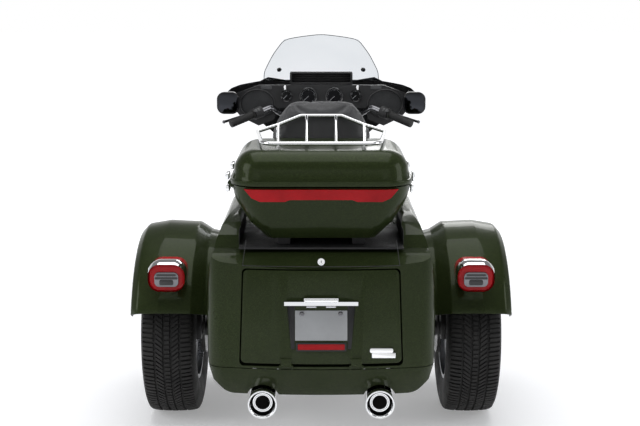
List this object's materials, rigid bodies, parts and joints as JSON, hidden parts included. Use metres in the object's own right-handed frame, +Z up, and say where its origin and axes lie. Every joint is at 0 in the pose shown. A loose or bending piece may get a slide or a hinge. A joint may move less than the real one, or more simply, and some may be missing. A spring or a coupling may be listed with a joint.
{
  "type": "motorized trike",
  "caption": "Three-wheeled touring motorcycle with a wide rear body holding a drop-door trunk, a lidded top case with rack and backrest, V-twin engine, fork fairing and windshield.",
  "frame": {"origin": "on the ground, at the middle of the length and width", "axes": "+X to the vehicle's right, +Y forwards, +Z up"},
  "size_m": [1.39, 2.6508, 1.4299],
  "materials": {
    "paint": "gloss metallic dark olive",
    "chrome": "polished",
    "black_metal": "satin black powder coat",
    "cast_black": "wrinkle black with machined edges",
    "aluminium": "cast and machined",
    "rubber": "moulded",
    "tyre": "treaded",
    "trim_black": "grained",
    "gloss_black": "gloss",
    "red_lens": "clear red over reflector",
    "plate": "blank, painted grey",
    "seat_cover": "smooth black vinyl with seams",
    "shield": "clear polycarbonate",
    "lamp_glass": "clear lens"
  },
  "bodies": {
    "chassis": {"frame": "black_metal", "crankcase": "cast_black", "gearbox": "cast_black", "primary_cover": "chrome", "cam_cover": "chrome", "cylinders": "cast_black", "rocker_covers": "chrome", "air_cleaner": "chrome", "exhaust_headers": "chrome", "mufflers": "chrome", "fuel_tank": "paint", "tank_console": "chrome", "seat": "seat_cover", "backrest": "seat_cover", "side_covers": "paint", "trunk_body": "paint", "rear_bumper": "paint", "rear_mudguards": "paint", "tail_lamps": "red_lens", "case_mount": "black_metal", "top_case": "paint", "top_case_lamp": "red_lens", "speaker_pods": "paint", "rear_axle": "black_metal", "drive_belt": "rubber", "shock_absorbers": "black_metal", "rider_floorboards": "rubber", "passenger_floorboards": "rubber", "engine_guard": "chrome", "lower_fairings": "paint"},
    "steering": {"fork_legs": "chrome", "fork_yokes": "black_metal", "handlebar": "chrome", "grips": "rubber", "hand_controls": "chrome", "front_mudguard": "paint", "front_calipers": "black_metal", "headlamp": "lamp_glass", "outer_fairing": "paint", "inner_fairing": "trim_black", "gauges": "gloss_black", "windshield": "shield", "mirrors": "gloss_black", "passing_lamps": "chrome"},
    "front_wheel": {"front_tyre": "tyre", "front_wheel": "aluminium"},
    "rear_wheel_left": {"rear_tyre_left": "tyre", "rear_wheel_left": "aluminium"},
    "rear_wheel_right": {"rear_tyre_right": "tyre", "rear_wheel_right": "aluminium"},
    "trunk_door": {"trunk_door": "paint", "licence_plate": "plate", "plate_reflector": "red_lens", "plate_lamp": "chrome"},
    "top_case_lid": {"top_case_lid": "paint", "luggage_rack": "chrome"}
  },
  "joints": [
    {"name": "steering", "type": "hinge", "parent": "chassis", "child": "steering", "pos_m": [0, 0.69043, 0.85], "axis": [0, -0.4384, 0.8988], "range_deg": [-35, 35]},
    {"name": "front_wheel_spin", "type": "hinge", "parent": "steering", "child": "front_wheel", "pos_m": [0, 1.006, 0.32], "axis": [1, 0, 0], "continuous": true},
    {"name": "rear_left_spin", "type": "hinge", "parent": "chassis", "child": "rear_wheel_left", "pos_m": [-0.57, -0.664, 0.324], "axis": [1, 0, 0], "continuous": true},
    {"name": "rear_right_spin", "type": "hinge", "parent": "chassis", "child": "rear_wheel_right", "pos_m": [0.57, -0.664, 0.324], "axis": [1, 0, 0], "continuous": true},
    {"name": "trunk_door_hinge", "type": "hinge", "parent": "chassis", "child": "trunk_door", "pos_m": [0, -1.32, 0.379], "axis": [1, 0, 0], "range_deg": [0, 90]},
    {"name": "lid_hinge", "type": "hinge", "parent": "chassis", "child": "top_case_lid", "pos_m": [-0.3178, -1.026, 0.9865], "axis": [0, -1, 0], "range_deg": [0, 85]}
  ]
}
